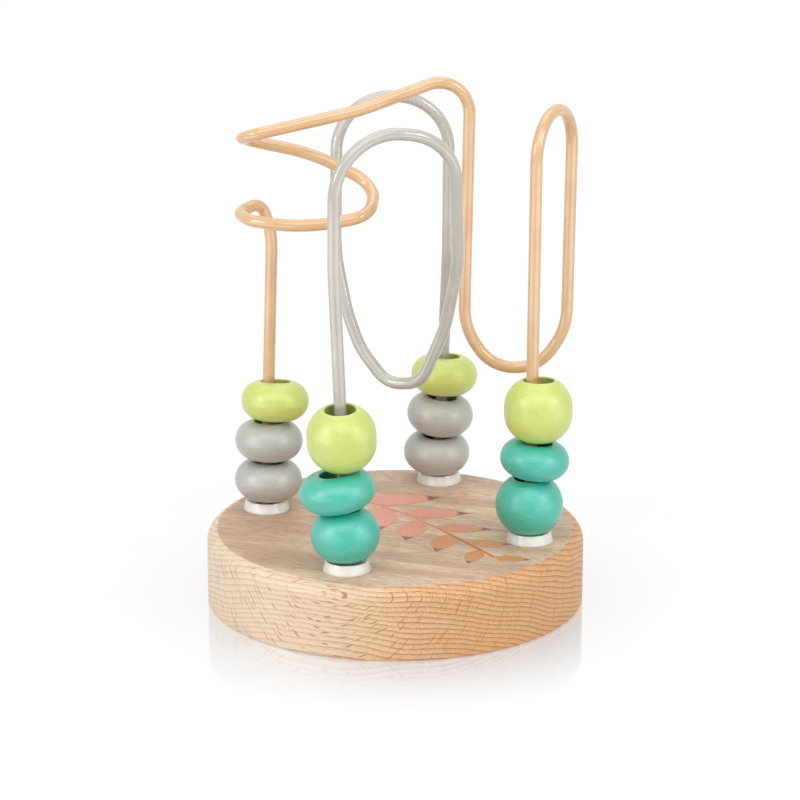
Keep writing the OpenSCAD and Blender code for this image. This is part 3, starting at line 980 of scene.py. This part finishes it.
def sprig_recipe():
    tree, given = new_recipe("leafy_sprig", [
        ("Leaf", "NodeSocketObject"), ("Leaves", COUNT), ("Spread", NUMBER), ("Stem Width", NUMBER),
        ("Film", NUMBER), ("Ink", FINISH)])
    place = put(tree, "GeometryNodeSplineParameter").outputs["Factor"]
    marked = put(tree, "GeometryNodeStoreNamedAttribute", {"data_type": "FLOAT", "domain": "POINT"},
                 Geometry=given["Geometry"], Name="along", Value=place).outputs[0]

    spots = put(tree, "GeometryNodeCurveToPoints", {"mode": "COUNT"}, Curve=marked, Count=given["Leaves"])
    index = put(tree, "GeometryNodeInputIndex").outputs[0]
    side = calc(tree, "SUBTRACT", calc(tree, "MULTIPLY", calc(tree, "MODULO", index, 2.0), 2.0), 1.0)
    lean = calc(tree, "MULTIPLY", side, given["Spread"])
    ahead = put(tree, "FunctionNodeAlignEulerToVector", {"axis": "X", "pivot_axis": "Z"},
                Vector=spots.outputs["Tangent"])
    aside = put(tree, "FunctionNodeRotateEuler", {"space": "LOCAL"}, Rotation=ahead.outputs[0],
                Rotate_By=put(tree, "ShaderNodeCombineXYZ", Z=lean).outputs[0])
    share = calc(tree, "DIVIDE", index, calc(tree, "SUBTRACT", given["Leaves"], 1.0))
    size = calc(tree, "SUBTRACT", FIRST_LEAF, calc(tree, "MULTIPLY", share, LEAF_TAPER))
    one_leaf = put(tree, "GeometryNodeObjectInfo", Object=given["Leaf"]).outputs["Geometry"]
    leaves = put(tree, "GeometryNodeInstanceOnPoints", Points=spots.outputs["Points"],
                 Instance=one_leaf, Rotation=aside.outputs[0], Scale=size)

    ribbon = put(tree, "GeometryNodeCurvePrimitiveQuadrilateral", Width=given["Film"],
                 Height=given["Stem Width"])
    stalk = put(tree, "GeometryNodeCurveToMesh", Curve=marked, Profile_Curve=ribbon.outputs[0],
                Fill_Caps=True)
    joined = put(tree, "GeometryNodeJoinGeometry")
    for part in (leaves, stalk):
        tree.links.new(part.outputs[0], joined.inputs[0])
    end_recipe(tree, joined.outputs[0], given["Ink"])
    return tree


SPRIG_RECIPE = sprig_recipe()
print("sprig recipe inputs:", ", ".join(named_inputs(SPRIG_RECIPE)))

# %% Print the sprig
# Corners of the stem in millimetres, seen with the viewer below: right, then away
STEM_ROUTE = [(-18, 30), (-6, 20), (5, 8), (15, -6), (24, -20), (32, -33)]
STEM_W = 1.1
LEAVES = 10
SPREAD = math.radians(48)


def stem_points(corners, between=8):
    """A smooth line through the corners."""
    ends = [corners[0]] + corners + [corners[-1]]
    line = []
    for a, b, c, d in zip(ends, ends[1:], ends[2:], ends[3:]):
        for k in range(between):
            t = k / between
            line.append([0.5 * (2 * q + (r - p) * t + (2 * p - 5 * q + 4 * r - s) * t ** 2
                                + (3 * q - p - 3 * r + s) * t ** 3) for p, q, r, s in zip(a, b, c, d)])
    return line + [list(corners[-1])]


turn_to_view = Matrix.Rotation(VIEW_TURN, 3, "Z")
film_middle = BASE_H + (FILM_LOW + FILM_HIGH) / 2
stem_line = [(turn_to_view @ Vector((x, y, film_middle))) * MM for x, y in stem_points(STEM_ROUTE)]
sprig = grown("printed_sprig", path_object("sprig_stem", stem_line), SPRIG_RECIPE, Leaf=leaf,
              Leaves=LEAVES, Spread=SPREAD, Stem_Width=STEM_W * MM, Film=(FILM_HIGH - FILM_LOW) * MM,
              Ink=print_ink)
bpy.data.objects.remove(leaf)
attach(sprig, "base")
print("sprig has", len(sprig.data.polygons), "faces")

# %% [markdown]
# ## Floor, light and background
# The toy stands on a plain white studio table, lit by soft boxes at the left, the right, in front and
# above. An upright wire mirrors only the table, so it would look dull: two low cards beside the toy draw
# a bright line down it and add no other light. The table is lacquered, so the base leaves a faint
# reflection that fades as it goes down. To the camera, and in anything that mirrors it, the table also
# glows with its own white. Stronger lamps would whiten it too, but they would bleach the toy. The lacquer
# takes less green and blue than red, so that the reflected wood looks nearly grey.

# %% Studio table
TABLE_HALF = 6.0
table_mesh = bmesh.new()
bmesh.ops.create_grid(table_mesh, x_segments=4, y_segments=4, size=TABLE_HALF)
table_data = bpy.data.meshes.new("table")
table_mesh.to_mesh(table_data)
table_mesh.free()
table = new_object("table", table_data)
print("table", 2 * TABLE_HALF, "m across")

# %% Table finish
MATT_WHITE = (0.86, 0.86, 0.86, 1)
SHINE = (0.76, 0.51, 0.42, 1)
CONTACT = (0.5, 0.5, 0.5, 1)
NO_SHINE = (0, 0, 0, 1)
SHINE_ROUGH = 0.07
# Distances from the middle in millimetres between which a part of the finish changes
CONTACT_RANGE = (BASE_R + 0.5, BASE_R + 4)
SHINE_RANGE = (BASE_R - 10, BASE_R + 48)
# Where the painted contact shadow round the base fades out
PAINTED_SHADOW_RANGE = (BASE_R - 5, BASE_R + 40)
DAYLIGHT_RANGE = (BASE_R, 600.0)
# How much lamp light and shadow the camera sees, how bright the lamps are near and far, and the
# white close to the base, lowered there as a painted contact shadow
SHADE = 0.12
DAYLIGHT = (0.97, 0.5)
PAINTED_SHADOW_WHITE = 0.95


def direct_view(tree):
    """1 where the camera sees the surface itself or mirrored, 0 where it only passes light on."""
    rays = put(tree, "ShaderNodeLightPath").outputs
    mirrored = calc(tree, "MAXIMUM", rays["Is Glossy Ray"], rays["Is Transmission Ray"])
    return calc(tree, "MAXIMUM", rays["Is Camera Ray"], mirrored)


def joined_shaders(tree, kind, first, second):
    made = put(tree, kind)
    for socket, part in zip(made.inputs[-2:], (first, second)):
        tree.links.new(part.outputs[0], socket)
    return made


def table_finish():
    made = bpy.data.materials.new("studio_table")
    made.use_nodes = True
    tree = made.node_tree
    tree.nodes.clear()
    length = put(tree, "ShaderNodeVectorMath", {"operation": "LENGTH"})
    fill(tree, length.inputs[0], millimetres(tree))
    from_middle = length.outputs["Value"]
    gloss = mixed(tree, ramp(tree, from_middle, *CONTACT_RANGE), CONTACT, SHINE)
    shine = mixed(tree, ramp(tree, from_middle, *SHINE_RANGE), gloss, NO_SHINE)
    daylight = ramp(tree, from_middle, *DAYLIGHT_RANGE, *DAYLIGHT)
    # Close to the base the table's own white is lowered as a painted contact shadow.
    painted_contact_shadow = ramp(tree, from_middle, *PAINTED_SHADOW_RANGE, PAINTED_SHADOW_WHITE, 1.0)
    own_white = calc(tree, "SUBTRACT", painted_contact_shadow, calc(tree, "MULTIPLY", daylight, SHADE))
    rest = mixed(tree, 1.0, own_white, shine, "SUBTRACT")

    matt = put(tree, "ShaderNodeBsdfDiffuse", Color=MATT_WHITE)
    shade = put(tree, "ShaderNodeBsdfDiffuse", Color=(SHADE, SHADE, SHADE, 1))
    glow = put(tree, "ShaderNodeEmission", Color=rest, Strength=1.0)
    sheen = put(tree, "ShaderNodeBsdfGlossy", Color=shine, Roughness=SHINE_ROUGH)
    lit = joined_shaders(tree, "ShaderNodeAddShader", glow, shade)
    polished = joined_shaders(tree, "ShaderNodeAddShader", lit, sheen)
    shown = joined_shaders(tree, "ShaderNodeMixShader", matt, polished)
    fill(tree, shown.inputs["Fac"], direct_view(tree))
    tree.links.new(shown.outputs[0], put(tree, "ShaderNodeOutputMaterial").inputs["Surface"])
    return made


table_data.materials.append(table_finish())
print("the table's shine ends", SHINE_RANGE[1] - BASE_R, "mm from the base")

# %% Soft boxes and cards
BOX_AWAY = 1.4
SIDE_SIZE = (0.45, 0.55)
FRONT_SIZE = (1.4, 0.9)
TOP_SIZE = (1.2, 1.0)
CARD_RISE = -3
CARD_AWAY = 0.3
CARD_SIZE = (0.34, 0.1)


def soft_box(name, turn, rise, away, size, power):
    """A light that faces the toy: degrees to the right of the camera and up, then metres and watts."""
    data = bpy.data.lights.new(name, "AREA")
    data.shape = "RECTANGLE"
    data.size, data.size_y = size
    data.energy = power
    made = new_object(name, data)
    to_box = towards(math.radians(turn) + VIEW_TURN, math.radians(rise))
    made.location = VIEW_MIDDLE + to_box * away
    made.rotation_euler = to_box.to_track_quat("Z", "Y").to_euler()
    return made


def gloss_card(name, turn, power):
    """A low card close to the toy that shows in glossy surfaces and adds no other light."""
    made = soft_box(name, turn, CARD_RISE, CARD_AWAY, CARD_SIZE, power)
    made.visible_diffuse = False
    made.visible_camera = False


soft_box("left_box", -57, 25, BOX_AWAY, SIDE_SIZE, 5.0)
soft_box("right_box", 58, 28, BOX_AWAY, SIDE_SIZE, 4.6)
gloss_card("left_card", -55, 0.19)
gloss_card("right_card", 52, 0.17)
soft_box("front_box", 0, 52, BOX_AWAY, FRONT_SIZE, 7.4)
soft_box("top_box", 180, 74, BOX_AWAY, TOP_SIZE, 5.5)
print("lights:", ", ".join(light.name for light in bpy.data.lights))

# %% White room
FILL_LIGHT = 0.36
world = bpy.data.worlds.new("studio")
scene.world = world
world.use_nodes = True
room = world.node_tree
background = room.nodes["Background"].inputs
background["Color"].default_value = (1, 1, 1, 1)
fill(room, background["Strength"], ramp(room, direct_view(room), 0.0, 1.0, FILL_LIGHT, 1.0))
scene.view_settings.view_transform = "Standard"
print("a white room with a fill light of", FILL_LIGHT)
